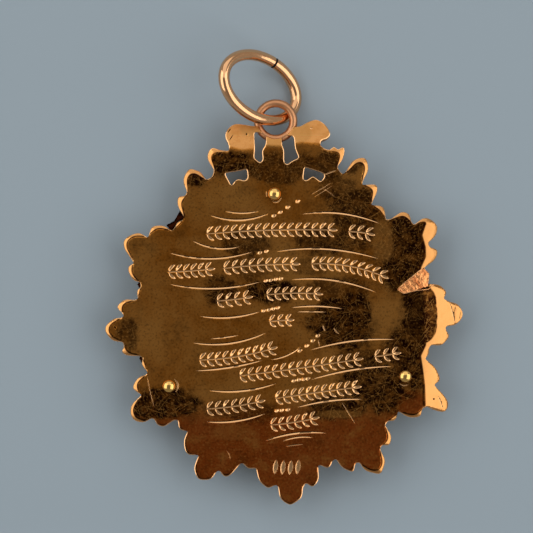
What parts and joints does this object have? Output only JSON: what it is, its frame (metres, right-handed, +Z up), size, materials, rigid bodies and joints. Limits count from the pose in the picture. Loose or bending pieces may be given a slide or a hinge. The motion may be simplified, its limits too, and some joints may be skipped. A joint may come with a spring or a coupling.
{
  "type": "leaf-edged fob charm",
  "caption": "Pierced, leaf-edged gold plate with a riveted emblem on its front, hung from a small soldered ring and a split ring; lying face down.",
  "frame": {"origin": "On the rest plane, on the flat face of the emblem that the charm lies on, under the middle of the plate", "axes": "+Z up out of the plate's back, +Y towards the hanging rings, +X to the right when the back is looked at with the rings at the top"},
  "size_m": [0.0358, 0.0456, 0.0067],
  "materials": {
    "plate_gold": "polished, engraved and toned",
    "ring_gold": "polished",
    "pin_gold": "polished",
    "emblem_gold": "polished"
  },
  "bodies": {
    "root": {"back_plate": "plate_gold", "split_ring": "ring_gold", "pin_top": "pin_gold", "pin_left": "pin_gold", "pin_right": "pin_gold", "front_emblem": "emblem_gold"}
  },
  "joints": []
}
